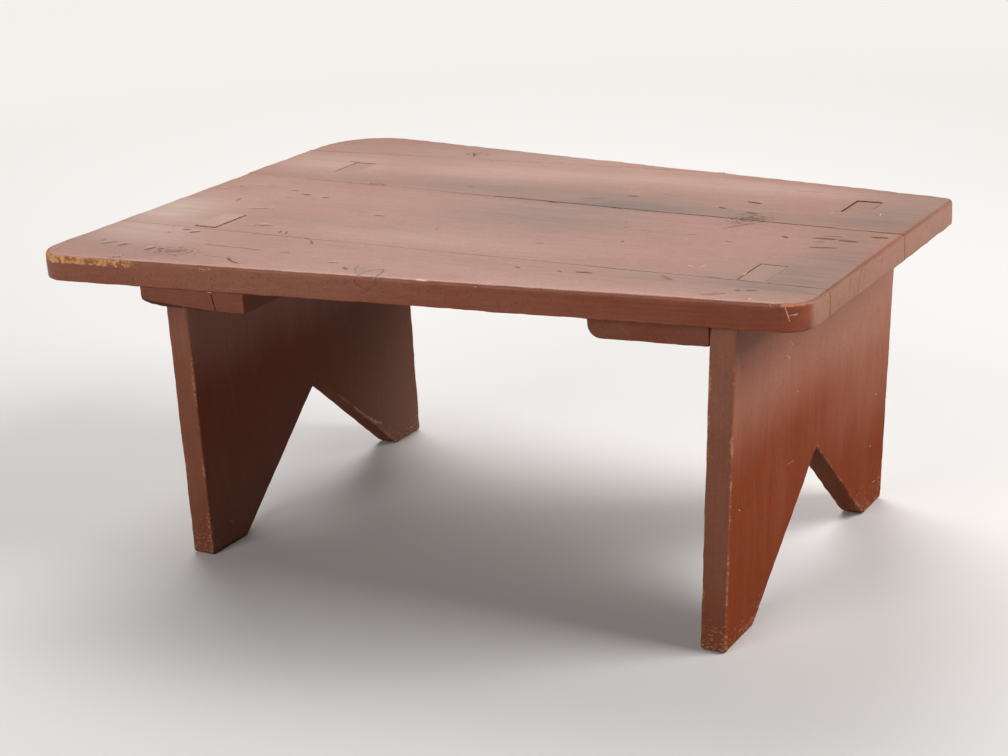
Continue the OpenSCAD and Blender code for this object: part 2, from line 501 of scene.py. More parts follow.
def worn_arris_group():
    """Paint worn thin, and wood laid bare, near the arrises."""
    n, taken, given = new_group("worn arris", "Place:Vector, Arris, Thin, Bare", "Thin, Bare")
    place = taken["Place"]
    broad = n.noise(place, 38.0)
    fine = n.noise(place, 480.0, detail=3.0, roughness=0.7)
    ragged = n.math("ADD", n.times(broad, 0.5), n.times(fine, 0.5))
    reach = n.plus(taken["Arris"], ragged, 1.5)
    thin = n.math("SUBTRACT", 2.05, taken["Thin"])
    bare = n.math("SUBTRACT", 2.15, taken["Bare"])
    n.feed_all(given, Thin=n.between(reach, thin, n.math("ADD", thin, 0.3)),
               Bare=n.between(reach, bare, n.math("ADD", bare, 0.06)))
    return n.tree


def stain_group():
    """A soft patch with a ragged rim. Away is 0 at its centre and 1 at its rim."""
    n, taken, given = new_group("stain", "Place:Vector, Centre:Vector, Size:Vector, Ragged, Soft",
                                "Mask, Away")
    away = n.vector("SUBTRACT", taken["Place"], taken["Centre"])
    away = n.vector("LENGTH", n.vector("DIVIDE", away, taken["Size"]))
    rim = n.noise(n.vector("DIVIDE", taken["Place"], taken["Size"]), 2.2, detail=4.0, roughness=0.62)
    away = n.plus(away, n.math("SUBTRACT", rim, 0.5), taken["Ragged"])
    n.feed_all(given, Away=away, Mask=n.between(away, 1.0, n.math("SUBTRACT", 1.0, taken["Soft"])))
    return n.tree


def knot_group():
    """The curls of grain round a knot, where dirt has settled in the worn paint."""
    n, taken, given = new_group("knot", "Place:Vector, Centre:Vector, Size:Vector, Curls",
                                "Curls, Heart")
    stain = n.group(STAIN, Place=taken["Place"], Centre=taken["Centre"], Size=taken["Size"],
                    Ragged=0.8, Soft=0.5)
    turning = n.math("SINE", n.times(stain["Away"], taken["Curls"], 6.2832))
    patchy = n.between(n.noise(taken["Place"], 210.0, detail=3.0, roughness=0.7), 0.38, 0.56)
    n.feed_all(given, Curls=n.times(n.between(turning, -0.1, 0.8), patchy, stain["Mask"]),
               Heart=n.between(stain["Away"], 0.5, 0.1))
    return n.tree


def flecks_group():
    """Small scattered chips and dents with ragged rims."""
    n, taken, given = new_group("flecks", "Place:Vector, Scale, Amount, Size", "Mask")
    place, scale = taken["Place"], taken["Scale"]
    rim = n.noise(place, n.times(scale, 5.0), output="Color")
    rim = n.vector("MULTIPLY", n.vector("SUBTRACT", rim, (0.5, 0.5, 0.5)), n.math("DIVIDE", 0.25, scale))
    cells = n.cells(n.vector("ADD", place, rim), scale)
    lot = n.split(cells["Color"])
    chosen = n.math("LESS_THAN", lot["X"], taken["Amount"])
    size = n.times(taken["Size"], n.spread(lot["Y"], 0.35, 1.0))
    n.feed_all(given, Mask=n.times(chosen, n.between(cells["Distance"], size, n.times(size, 0.5))))
    return n.tree


def old_paint_group():
    """An old coat of paint in layers: faded, grained, grimy, scratched, chipped."""
    n, taken, given = new_group(
        "old paint",
        "Place:Vector, Fresh:Color, Faded:Color, Fading, Fibre, Figure, Pores, Grime, Dark Marks, "
        "Dents, Pale Marks, Thin, Bare, Bare Wood:Color, Dust",
        "Colour:Color, Roughness, Height")
    place = taken["Place"]
    cloudy = n.noise(place, (5.0, 15.0, 15.0), detail=4.0, roughness=0.6)
    cloudy = n.math("SUBTRACT", cloudy, 0.5)
    mottle = n.noise(place, 60.0, detail=4.0, roughness=0.65)
    fading = n.plus(taken["Fading"], cloudy, 0.9)
    fading = n.plus(fading, n.math("SUBTRACT", taken["Figure"], 0.5), 0.22)
    fading = n.math("MINIMUM", n.math("MAXIMUM", fading, 0.0), 1.0)
    speckle = n.noise(place, 500.0, detail=3.0, roughness=0.75)
    dark = n.most(taken["Dark Marks"], n.times(taken["Dents"], 0.8))
    shown = n.mix(fading, taken["Fresh"], taken["Faded"])
    # What lies over the paint, one over the other: where it is, how much of it shows, its colour
    for where, share, tone in (
            (n.between(mottle, 0.48, 0.75), 0.22, colour("#6b3a2a")),
            (n.inverse(taken["Fibre"]), 0.14, colour("#5f3527")),
            (taken["Pores"], 0.25, colour("#5a3426")),
            (n.between(speckle, 0.53, 0.68), 0.70, colour("#5e4030")),
            # Dust, with the painted sheen that comes in with it
            (taken["Dust"], 0.6, colour("#c4ab9d")),
            (taken["Grime"], 0.9, colour("#624c3c")),
            (taken["Thin"], 0.7, colour("#99512f")),
            (taken["Bare"], 1.0, taken["Bare Wood"]),
            # Dark marks and dents, with the painted shade that comes in with the marks
            (dark, 0.78, colour("#37200f")),
            (taken["Pale Marks"], 1.0, colour("#d09c7a"))):
        shown = n.mix(n.times(where, share), shown, tone)
    rough = n.spread(taken["Fibre"], 0.47, 0.39)
    for what, share in ((cloudy, 0.18), (taken["Grime"], 0.12), (n.most(taken["Bare"], dark), 0.3)):
        rough = n.plus(rough, what, share)
    height = n.times(taken["Fibre"], 0.22)
    for what, share in ((taken["Figure"], 0.35), (taken["Pores"], -0.5), (mottle, 0.35),
                        (taken["Dents"], -2.0), (taken["Bare"], -0.6)):
        height = n.plus(height, what, share)
    n.feed_all(given, Colour=shown, Roughness=rough, Height=height)
    return n.tree


FRESH = colour("#8b3b1d")
FADED = colour("#a16b54")
BARE_WOOD = colour("#b98050")

GRAIN = sawn_grain_group()
WORN = worn_arris_group()
STAIN = stain_group()
KNOT = knot_group()
FLECKS = flecks_group()
OLD_PAINT = old_paint_group()


class Painted:
    """The start of a painted wood material: where a point is, which way its
    face looks, and how worn it is. Along is the axis of the grain."""

    def __init__(self, name, along, shift):
        self.material, self.n, self.shader = new_material(name)
        n = self.n
        coordinate = n.add("TexCoord")
        self.place = coordinate.outputs["Object"]
        self.x, self.y, self.z = n.split(self.place)
        self.facing = n.split(coordinate.outputs["Normal"])
        order = {"X": (self.x, self.y, self.z), "Y": (self.y, self.x, self.z),
                 "Z": (self.z, self.y, self.x)}[along]
        self.along_grain = n.vector("ADD", n.join(*order), shift)
        self.grain = dict(n.group(GRAIN, Place=self.along_grain).items())
        self.arris = self.kept("arris")
        ragged = n.noise(self.place, 520.0, detail=3.0, roughness=0.7)
        streaky = n.noise(self.along_grain, (60.0, 400.0, 400.0))
        rough_rim = n.math("ADD", n.times(ragged, 0.6), n.times(streaky, 0.4))
        rough_rim = n.math("SUBTRACT", rough_rim, 0.5)
        self.dark = n.between(n.plus(self.kept("dark marks"), rough_rim, 0.9), 0.05, 0.95)
        self.pale = n.between(n.plus(self.kept("pale marks"), rough_rim, 1.2), 0.35, 0.6)
        # Dirt along the seams, with painted shade round the mortises and tenons
        self.seam = n.between(n.plus(self.kept("seam"), rough_rim, 0.55), 0.74, 0.98)

    def kept(self, name):
        """A value that is stored with the points of the piece."""
        return self.n.add("Attribute", attribute_name=name).outputs["Fac"]

    def looks(self, axis, sign, least=0.35, most=0.85):
        """1 on faces that look along an axis."""
        return self.n.between(self.n.times(self.facing[axis], sign), least, most)

    def finish(self, dark, thin, bare, bare_spots=0.0, **layers):
        """Lays the worn paint over everything found so far. The layers are inputs of
        the old paint. Returns the material."""
        n = self.n
        worn = n.group(WORN, Place=self.along_grain, Arris=self.arris, Thin=thin, Bare=bare)
        layers = {"Fresh": FRESH, "Faded": FADED, "Bare_Wood": BARE_WOOD, **self.grain, **layers}
        paint = n.group(OLD_PAINT, Place=self.along_grain, Dark_Marks=dark, Thin=worn["Thin"],
                        Bare=n.most(worn["Bare"], bare_spots), **layers)
        n.feed_all(self.shader, Base_Color=paint["Colour"], Roughness=paint["Roughness"],
                   Specular_IOR_Level=n.spread(n.inverse(dark), 0.05, 0.4),
                   Normal=n.relief(paint["Height"], 0.0004, 0.6))
        return self.material


# The marks and patches of the top. Their tables are in millimetres

def metres(values):
    """Values in millimetres, to a tenth, as metres."""
    return tuple(round(value * 10) / 10000 for value in values)


def marks_of(rows):
    """Marks from rows of a start, an end, half the width and the strength."""
    return [(metres(row[:2]), metres(row[2:4]), *metres(row[4:5]), row[5]) for row in rows]


def patches_of(rows):
    """Patches from rows of a middle, the reach both ways and what else a row gives."""
    return [(metres(row[:2]), metres(row[2:4]), *row[4:]) for row in rows]


# Dark marks on the upper face, as (x, y)
TOP_MARKS = marks_of([
    # Front board, from the wide end on
    (-300, -181, -296, -192, 2.2, 0.6), (-291, -199, -283, -186, 3.6, 0.7),
    (-273, -198, -268, -191, 3.6, 0.9), (-262, -146, -257, -149, 3, 0.6),
    (-254, -135, -245.6, -135, 3, 0.8), (-241.1, -141.7, -234.5, -136.4, 4, 1),
    (-241.9, -201.3, -238.5, -192.4, 3, 0.9), (-201.6, -170.3, -144.2, -170.7, 1.6, 0.8),
    (-167.6, -111.6, -164, -119, 1.4, 0.8), (-160.6, -112.8, -157, -120, 1.4, 0.8),
    (-180, -200.4, -157.1, -200.4, 1.4, 0.6), (-157.1, -200.4, -150, -207, 2.4, 0.9),
    (-150, -207, -138.8, -211.6, 2, 0.9), (-135.3, -124.1, -124, -131, 1.4, 0.6),
    (-124, -131, -115.8, -140, 2, 0.7), (-126.8, -169.9, -117.8, -169.9, 3.2, 0.7),
    (-70.4, -184.2, -62.1, -182.3, 3.4, 0.6), (-50.3, -192.8, -43.6, -197.6, 3, 0.7),
    (60, -78, 67, -77, 2, 0.8), (80, -147, 85, -149, 2.2, 0.8), (117, -146, 121, -149, 1.8, 0.8),
    (131.5, -144.4, 144.4, -142.9, 2.2, 1), (198.1, -132, 211, -141.9, 4.4, 0.5),
    (265.8, -150.8, 269.3, -149.6, 2.6, 0.8), (273.6, -147.2, 281, -146.3, 2.6, 0.8),
    (246.8, -170, 255.7, -161, 1.4, 0.7), (253, -169, 262, -160, 1.4, 0.7),
    (305, -133, 329, -144, 1.4, 0.35), (279, 128.5, 278.3, 105, 1.2, 0.6),
    (278.3, 105, 277.4, 90, 1, 0.4),
    # Dirt along the front arris at the wide end
    (-253.4, -233.5, -248.3, -222.5, 2.4, 0.7), (-260, -229, -245, -227, 1.8, 0.6),
    (-315, -229, -319, -220, 2, 0.5), (-322, -215, -318, -208, 1.8, 0.4),
    # A drawn loop, with shading beside it
    (-26.4, -213, -26.4, -197.7, 1.6, 0.6), (-26.4, -197.7, -21.5, -189.5, 1.6, 0.6),
    (-21.5, -189.5, -16, -187, 1.6, 0.6), (-16, -187, -11.9, -195.8, 1.6, 0.6),
    (-11.9, -195.8, -9.8, -209.1, 1.6, 0.6), (-42, -183, -37, -196, 1.8, 0.4),
    (-37, -196, -30, -205, 1.8, 0.4), (-35, -186, -31, -195, 1.6, 0.35),
    # Middle board
    (-326.3, 3.1, -306.4, 2.7, 1.8, 0.5), (-302.2, 23.1, -283.7, 23.3, 1.8, 0.5),
    (-306.4, 15.5, -298.4, 15.5, 4, 0.6), (-273.8, -24.4, -271.2, -33.8, 2.8, 0.7),
    (-246, 15.7, -238.4, 15.7, 4, 0.7), (-235, -8.1, -229.4, -8.1, 3, 0.6),
    (-227, 7, -218.6, 5.8, 3.6, 0.8), (-202, 1.8, -194.8, 0.8, 3.4, 0.8),
    (-244.3, -55.9, -218.6, -48.8, 2.2, 0.7), (-202.7, -103.5, -185.5, -99.7, 3.6, 0.7),
    (-118, -41.1, -108.2, -41.1, 3.4, 0.7), (-44, -60, -39, -69, 3, 0.4), (100, 4, 103, 3.5, 2.4, 0.6),
    (107, -11, 110, -11.5, 2.2, 0.6), (125, -50, 126, -54, 2.2, 0.8),
    (165.6, -14.1, 173.6, -14.1, 3, 0.6), (185.2, 11.1, 197.1, 28.6, 2.2, 0.6),
    (176, 33, 199, 30, 2, 0.5), (190, 18, 202, 34, 1.8, 0.6), (183, 26, 193, 36, 1.8, 0.5),
    (203.6, -24.8, 209.6, -24.8, 2.8, 0.7), (240.5, 4, 246, 0, 3.4, 0.9),
    (265.8, 6.2, 284.3, 7.5, 3.2, 1), (287.8, 5.5, 302.8, 5, 3.2, 0.9), (308, 22.5, 320.8, 24, 3.4, 1.1),
    (273, -20.8, 294.3, -16.1, 2.8, 0.9), (270, 15, 286, 16, 3, 0.7), (269, -3, 280, -3, 2.6, 0.6),
    (246.3, -59.9, 266.2, -57.4, 1.2, 0.5), (228.8, -123.4, 243.2, -124.3, 1.6, 0.6),
    # Back board and strip
    (271.6, 39.8, 294.1, 39.8, 2.2, 0.7), (294.6, 39.6, 308.3, 39, 2.2, 0.9),
    (-260.4, 134.4, -247.1, 131.6, 2, 0.9), (-228, 133, -220, 134, 2, 0.7),
    (-162, 204, -152, 187, 2, 0.8), (-156, 198, -147, 205, 1.8, 0.7), (-216, 197, -168, 196, 1.6, 0.5),
    (-95, 81, -88, 74, 5, 0.4), (5, 48, 12, 48.5, 3, 0.7), (25, 66, 44, 71, 1.8, 0.6),
    (30, 72, 50, 78, 2, 0.6), (61, 89, 71, 90, 3.8, 0.8), (68, 46.5, 77, 47, 3.2, 0.8),
    (85, 108, 105, 98, 1.6, 0.6), (154, 76, 161, 72, 3.2, 0.8), (170, 101, 183, 97, 4.4, 0.9),
    (183, 66, 193, 64, 4.6, 0.8), (194.9, 149, 216.1, 151, 4, 0.5), (190, 42, 204, 58, 2.2, 0.6),
    (196, 42, 208, 52, 2, 0.6),
])
# Bare specks on the upper face
TOP_SPECKS = marks_of([
    (241, 30, 242, 30.6, 1.8, 1), (284.1, -170, 284.1, -164, 1.2, 1), (255.1, -111, 255.1, -104, 1.4, 1),
    (205, -100, 210, -101, 1.2, 0.8), (218, -96, 215, -102, 1, 0.8), (250, 85, 250, 88, 1.4, 0.8),
    (290.5, 90, 289, 96, 1.4, 0.8), (24, -203, 33, -203, 2.4, 0.9),
])
# Marks on the front edge, as (x, z): the loop goes on over it
FRONT_MARKS = marks_of([
    (-26.4, 284.8, -28.2, 279, 1.4, 0.4), (-28.2, 279, -18.6, 273.5, 1.4, 0.4),
    (-18.6, 273.5, -9.6, 278.6, 1.4, 0.4), (-9.6, 278.6, -9.8, 284.8, 1.4, 0.4),
    (-229, 264.5, -228.6, 272, 0.8, 0.6), (-22, 270, -12, 276, 1.2, 0.4),
    (-157, 274.5, -154, 273.8, 1.8, 0.5), (105, 272, 109, 271.5, 1.4, 0.4),
])
FRONT_SPECKS = marks_of([
    (313.8, 282.2, 316.7, 271.5, 1, 0.9), (315.5, 276.2, 322.5, 277.3, 1.1, 0.9),
    (-166, 282.2, -159, 281.2, 1.4, 0.6), (-158, 282.6, -154, 282, 1, 0.6), (73, 283, 76, 282.5, 1, 0.7),
])
# Marks on the narrow end, as (y, z)
END_MARKS = marks_of([
    (-51, 281, -57, 270, 2, 0.4), (-59, 283, -69, 267, 1.8, 0.5), (-70, 279, -72, 274, 1.6, 0.3),
    (-83, 282, -86, 274, 2.2, 0.5), (-15, 279, -17, 275, 2.6, 0.4), (90, 280, 90.5, 276, 2.4, 0.5),
])
# Grime on the upper face, with its strength
TOP_GRIME = patches_of([
    (50, 78, 150, 30, 0.55), (90, 55, 130, 14, 0.7), (30, -5, 100, 45, 0.75), (-230, 67, 130, 8, 0.45),
    (305, 120, 55, 55, 0.6), (300, 60, 60, 30, 0.45), (300, -110, 55, 50, 0.75),
    (200, -140, 100, 18, 0.45), (310, -40, 35, 30, 0.5), (-100, 85, 80, 20, 0.35), (290, 5, 30, 20, 0.45),
    (195, 42, 22, 18, 0.35), (-260, -200, 70, 20, 0.34), (-34, -196, 18, 13, 0.35),
    (-120, -75, 120, 12, 0.25), (-230, 200, 140, 30, 0.25),
])
# Where the paint has kept more of its colour
TOP_WARM = patches_of([
    (160, -60, 100, 45, 0.75), (60, -115, 130, 20, 0.4), (150, 10, 50, 30, 0.4),
    (-20, -160, 150, 20, 0.4), (150, -150, 120, 20, 0.4),
])
# Where the paint is palest: painted sheen, strongest at the wide end and along the back, with dust
TOP_SHEEN_AND_DUST = patches_of([
    (-310, -85, 55, 60, 0.95), (-150, 130, 150, 26, 0.42), (80, 150, 200, 22, 0.43),
    (-270, -160, 60, 30, 0.45), (-60, -100, 100, 20, 0.25), (-180, 10, 120, 30, 0.2),
    (310, 110, 50, 50, 0.45), (200, 145, 80, 20, 0.25), (-290, 120, 60, 40, 0.5),
    (-120, 195, 200, 25, 0.3),
])
# Knots, with how many times their grain curls and their strength
TOP_KNOTS = patches_of([
    (-214, -198.5, 28, 18, 4, 0.85), (-180.7, 59, 12, 7, 2, 0.9), (195, 44, 23, 24, 4, 0.7),
    (-154, 197.5, 18, 12, 2, 0.7),
])


def between_lines(lines, x, y, margin):
    """Whether a place on the top lies between two lines along it, or near them."""
    return line_y(lines[0], x) - margin < y < line_y(lines[1], x) + margin


def painted_board(node, lines, shift):
    """The paint of one board of the top, which lies between two of the lines."""
    paint = Painted(node + " paint", "X", shift)
    n = paint.n
    up = paint.looks("Z", 1.0)
    front = paint.looks("Y", -1.0, 0.15, 0.6)
    end = n.times(paint.looks("X", 1.0), paint.looks("Y", -1.0, 0.45, 0.25))
    dark = paint.dark
    for (x, y), size, curls, strength in TOP_KNOTS:
        if between_lines(lines, x, y, 0.012):
            above = n.vector("MULTIPLY", paint.place, SEEN_FROM_ABOVE)
            knot = n.group(KNOT, Place=above, Centre=(x, y, 0.0), Size=(*size, 1.0), Curls=curls)
            dark = n.most(dark, n.times(knot["Curls"], up, 0.95 * strength),
                          n.times(knot["Heart"], up, 0.45 * strength))
    dents = n.group(FLECKS, Place=n.vector("MULTIPLY", paint.along_grain, (1.0, 2.2, 2.2)),
                    Scale=26.0, Amount=0.35, Size=0.07)["Mask"]
    # The patches of the tables, broken up by streaks along the grain
    streaks = n.noise(paint.along_grain, (7.0, 70.0, 70.0), detail=4.0, roughness=0.6)
    patchy = n.spread(n.between(streaks, 0.34, 0.66), 0.75, 1.15)
    grime = n.times(paint.kept("grime"), patchy, up)
    warm = n.times(paint.kept("warm"), patchy)
    # Dust, with painted sheen where the top is palest
    dust_and_sheen = n.most(n.times(paint.kept("sheen_and_dust"), patchy, up), n.times(end, 0.14))
    front_fading = n.spread(n.between(paint.x, -0.15, 0.28), 0.70, 0.12)
    fading = n.most(n.times(up, n.plus(0.85, warm, -0.5)), n.times(end, 0.95),
                    n.times(front, front_fading))
    # Wood shows along the front arris: ochre at the wide end, orange by the narrow end's corner
    ragged = n.math("SUBTRACT", n.noise(paint.place, 190.0, detail=3.0, roughness=0.65), 0.5)
    height = n.plus(paint.z, ragged, 0.006)
    along = n.plus(paint.x, ragged, 0.06)
    at_arris = n.times(front, n.between(paint.arris, 0.2, 0.3))
    ochre = n.times(n.between(height, 0.2788, 0.2796), n.between(along, -0.222, -0.232), at_arris)
    orange = n.times(n.between(height, 0.2826, 0.2834), n.between(along, 0.308, 0.313), at_arris)
    to_corner = n.plus(ragged, n.between(paint.x, -0.27, -0.32), 0.12)
    wood = n.mix(n.between(to_corner, -0.11, 0.16), colour("#925a3a"), colour("#e3a56c"))
    wood = n.mix(n.between(paint.x, -0.2, -0.15), wood, colour("#bf774f"))
    # Dirt along the seams, and painted shade in the gaps and round the mortises
    dark = n.most(dark, n.times(paint.seam, 0.9), paint.kept("gap_shade"))
    thin = n.spread(n.between(paint.x, 0.312, 0.326), 0.58, 0.2)
    return paint.finish(dark, thin, 0.27, n.most(ochre, orange), Fading=fading, Grime=grime,
                        Dents=n.times(dents, up), Pale_Marks=paint.pale, Bare_Wood=wood, Dust=dust_and_sheen)


def painted_leg(name, shift, end_grime, end_dust, faded_back, dusty_feet):
    """The paint of a leg: paler high up, which is painted sheen with a little dust, painted shade
    just under the top, worn at the feet. The last four are how grimy and dusty its tenons' ends
    are, how faded its back (a back that is not faded gets painted shade) and how dusty its feet."""
    paint = Painted(name, "Z", shift)
    n = paint.n
    front = paint.looks("Y", -1.0)
    specks = n.group(FLECKS, Place=paint.place, Scale=110.0, Amount=0.2, Size=0.08)["Mask"]
    # The paint is crackled and chipped at the feet and the arrises
    low = n.between(paint.z, 0.055, 0.0)
    crackle = n.noise(n.vector("MULTIPLY", paint.place, (1.0, 1.0, 2.2)), 260.0, detail=3.0,
                      roughness=0.8)
    chips = n.between(n.plus(n.plus(crackle, low, 0.125), paint.arris, 0.07), 0.69, 0.76)
    # Paler high up, as a painted sheen with a little dust; the narrow end's leg is also faded and dusty
    # to the back
    high = n.between(paint.z, 0.135, 0.21)
    behind = n.times(n.between(paint.y, -0.06, 0.13), n.between(paint.z, 0.05, 0.14), faded_back)
    fading = n.plus(n.times(high, 0.85), behind, 0.5)
    fading = n.most(fading, n.times(front, n.spread(n.between(paint.z, 0.02, 0.08), 0.1, 0.5)))
    across = n.most(paint.looks("X", 1.0), paint.looks("X", -1.0))
    dust_and_sheen = n.plus(n.plus(n.times(high, 0.16), behind, 0.1), n.between(paint.z, 0.16, 0.0), dusty_feet)
    dust_and_sheen = n.times(dust_and_sheen, n.spread(across, 0.15, 1.0))
    # The tenons' ends show on the top; the mortises' gaps round them have painted shade, and their rims
    # dirt and painted shade
    ends = n.between(paint.z, TOP_Z - 0.005, TOP_Z - 0.003)
    dust_and_sheen = n.most(n.times(dust_and_sheen, n.inverse(ends)), n.times(ends, end_dust))
    gap_shade = n.times(n.between(paint.z, UNDER_Z + 0.0005, UNDER_Z + 0.001),
                  n.between(paint.z, TOP_Z - 0.0012, TOP_Z - 0.0016))
    dark = n.most(paint.dark, n.times(paint.seam, 0.9), gap_shade)
    # Painted shade just under the top, more so to the front, and at the back of the wide end's leg
    shade_under_top = n.times(n.between(paint.z, 0.245, 0.262),
                        n.spread(n.between(paint.y, -0.09, -0.15), 0.1, 0.45))
    shade_at_back = n.times(n.between(paint.y, -0.02, 0.15), 0.6 * (1.0 - faded_back))
    # Grime on the tenons' ends, with the painted shade above, and darker on the faces that look to the
    # front
    grime = n.most(n.times(ends, end_grime), shade_under_top, shade_at_back, n.times(front, 0.32))
    pale = n.most(n.times(specks, 0.45), n.times(paint.pale, 0.7))
    return paint.finish(dark, 0.6, 0.48, chips, Fading=n.most(fading, ends), Grime=grime, Dust=dust_and_sheen,
                        Pale_Marks=pale, Bare_Wood=colour("#b57d5a"), Fresh=colour("#8e3b15"),
                        Faded=colour("#a8664c"))


def painted_batten(name, shift):
    """The paint of a batten, thin and grimy, with painted shade on faces that look down and to the front,
    as the hewn corner does.
    """
    paint = Painted(name, "Y", shift)
    n = paint.n
    # Painted shade on faces that look down and to the front
    shade_facing_down = n.times(paint.looks("Z", -1.0, 0.5, 0.65), paint.looks("Y", -1.0, 0.3, 0.45))
    dark = n.most(paint.dark, n.times(shade_facing_down, 0.5))
    return paint.finish(dark, 0.5, 0.34, Fading=0.2, Grime=0.28, Pale_Marks=paint.pale)


# The boards of the top

def board_radius(middle, normals):
    up, down = faces(normals, 2, 1), faces(normals, 2, -1)
    if not up and not down:
        return 0.0006
    if lies_on(BACK_SEAM, middle):
        return 0.0008 if up else 0.0004
    if lies_on(FRONT_SEAM, middle) or lies_on(STRIP_SEAM, middle):
        return 0.00035
    inside = abs(middle.x) < 0.262 and not lies_on(FRONT_EDGE, middle) and not lies_on(BACK_EDGE, middle)
    at_tenon = 0.21 < abs(middle.x) < 0.3 and -0.14 < middle.y < 0.15
    if at_tenon or inside:
        return 0.0005 if up else 0.0
    tip = min(1.0, abs(line_y(BACK_EDGE, middle.x) - line_y(STRIP_SEAM, middle.x)) / 0.008)
    share = tip if lies_on(BACK_EDGE, middle) else 1.0
    return share * (0.0030 if up else 0.0014)


def seam_dirt_and_shade(middle, normals):
    """How dark a seam or a mortise's rim is, from 0 to 1: dirt, and painted shade on the walls of the
    back mortises that are in view.
    """
    if not faces(normals, 2, 1) or lies_on(BACK_EDGE, middle):
        return 0.0
    if lies_on(BACK_SEAM, middle):
        return 1.0 if middle.x > -0.04 else 0.84
    if lies_on(FRONT_SEAM, middle):
        return 0.86 if middle.x > 0.0 else 0.78
    if lies_on(STRIP_SEAM, middle):
        return 0.8
    in_view = faces(normals, 0, 1) or faces(normals, 1, -1)
    if middle.y > 0.0:
        return 0.95 if in_view else 0.8
    return 0.8 if middle.x < 0.0 or faces(normals, 1, -1) else 0.88


def top_marks(lines):
    """The marks of the top as lines in space, dark and pale, that touch one board."""
    def on_top(p):
        return (*p, TOP_Z)

    def on_front(p):
        """On the front edge, and past its end on the rounded corner."""
        past = max(0.0, p[0] - CORNER_X)
        curve = CORNER_RADIUS - math.sqrt(CORNER_RADIUS ** 2 - past ** 2)
        return (p[0], line_y(FRONT_EDGE, p[0]) + curve, p[1])

    def on_end(p):
        return (HALF_LENGTH, *p)

    def lay(marks, place):
        laid = [(place(start), place(end), width, strength) for start, end, width, strength in marks]
        return [mark for mark in laid if any(between_lines(lines, *p[:2], 0.004) for p in mark[:2])]

    dark = lay(TOP_MARKS, on_top) + lay(FRONT_MARKS, on_front) + lay(END_MARKS, on_end)
    return dark, lay(TOP_SPECKS, on_top) + lay(FRONT_SPECKS, on_front)


def make_board(node, lines, shift):
    """Dresses a board of the top, whose grain runs along X."""
    board, rounded = rounded_copy(node, (0, 1, 2), 0.035, board_radius, 0.003)
    dark, pale = top_marks(lines)
    refine_near(board, dark + pale)
    mark_arrises(board, rounded, seam_dirt_and_shade)
    mark_gap_shade(board, rounded)
    points = points_of(board)
    for name, spots in (("grime", TOP_GRIME), ("warm", TOP_WARM), ("sheen_and_dust", TOP_SHEEN_AND_DUST)):
        store(board, name, patches(points, spots))
    sink_marks(board, dark, pale)
    complete(board, node, painted_board(node, lines, shift))


make_board("top_board_front", (FRONT_EDGE, FRONT_SEAM), (0.0, 0.0, 0.0))
make_board("top_board_middle", (FRONT_SEAM, BACK_SEAM), (0.41, 0.27, 0.03))
make_board("top_board_back", (BACK_SEAM, STRIP_SEAM), (0.83, -0.31, 0.05))
make_board("top_strip_back", (STRIP_SEAM, BACK_EDGE), (-0.57, 0.44, 0.02))


# The legs

# How much each leg leans, and the x of the face that shows in view: at the top for the narrow end's
# leg, and at the floor for the wide end's
NARROW_LEAN = math.tan(math.radians(3.0))
NARROW_FACE_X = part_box("leg_narrow_end")[1].x
WIDE_LEAN = math.tan(math.radians(0.5))
WIDE_FACE_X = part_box("leg_wide_end")[1].x

# Chips on the inner face of the wide end's leg, as (y, z) in millimetres
WIDE_LEG_CHIPS = marks_of([
    (155.5, 8.8, 160, 7.2, 1.2, 0.8), (60, 62.2, 70.5, 53.2, 1.8, 1), (73.5, 50.8, 75, 49.5, 1.3, 0.8),
    (82, 44.8, 96.5, 32.8, 2, 1), (94, 35, 106, 30, 1.4, 1), (-146.2, 22.1, -140.6, 20.4, 1.2, 0.9),
    (-172.5, 24.5, -171.5, 20, 1.4, 1),
])
# Chips and scratches on the outer face of the narrow end's leg
NARROW_LEG_CHIPS = marks_of([
    (-68, 222.9, -65, 220, 1, 0.9), (-64, 219.5, -61.2, 216.8, 1.2, 1),
    (-72.9, 212.2, -64.2, 207, 1.1, 0.9), (-64, 218, -66, 213, 0.8, 0.8), (-61, 117, -46, 115, 0.6, 0.7),
    (-47, 174, -44, 173, 1, 0.7), (142, 110, 146, 109, 1.3, 0.8), (135, 64, 139, 62, 1.3, 0.8),
    (148, 24.5, 156, 23.5, 0.8, 0.8), (162, 23, 170, 22.2, 0.8, 0.8), (-158, 115, -154, 113, 1.2, 0.8),
])


def leg_radius(middle, normals):
    if middle.z > UNDER_Z - 0.001:
        return 0.0006 if middle.z > TOP_Z - 0.001 else 0.0
    if middle.z < 0.001:
        return 0.0035
    if any(abs(normal.y) > 0.9 for normal in normals):
        return 0.0022
    return 0.0018


def shift_tenon_ends(leg, heights):
    """The boards have moved since they were planed, so each tenon's end stands proud or
    lies a little low. The heights are those of the front tenon and of the back one."""
    points = points_of(leg)
    at_end = np.clip((points[:, 2] - TOP_Z + 0.004) / 0.002, 0.0, 1.0)
    for name, side, height in zip(("front tenon", "back tenon"), (-1.0, 1.0), heights):
        weigh(leg, name, at_end * (points[:, 1] * side > 0.0))
        apply_modifier(leg, "DISPLACE", name, direction="Z", strength=height, mid_level=0.0,
                       vertex_group=name)


def tenon_dirt_and_shade(middle, normals):
    """How dark the rim of a tenon's end is: dirt all round, and on the proud tenon
    painted shade as well, to the front and towards the middle of the stool."""
    if middle.z < TOP_Z - 0.001:
        return 0.0
    proud = middle.x < 0.0 and middle.y < 0.0
    seen = faces(normals, 1, -1) or faces(normals, 0, 1)
    return 0.97 if proud and seen else 0.8


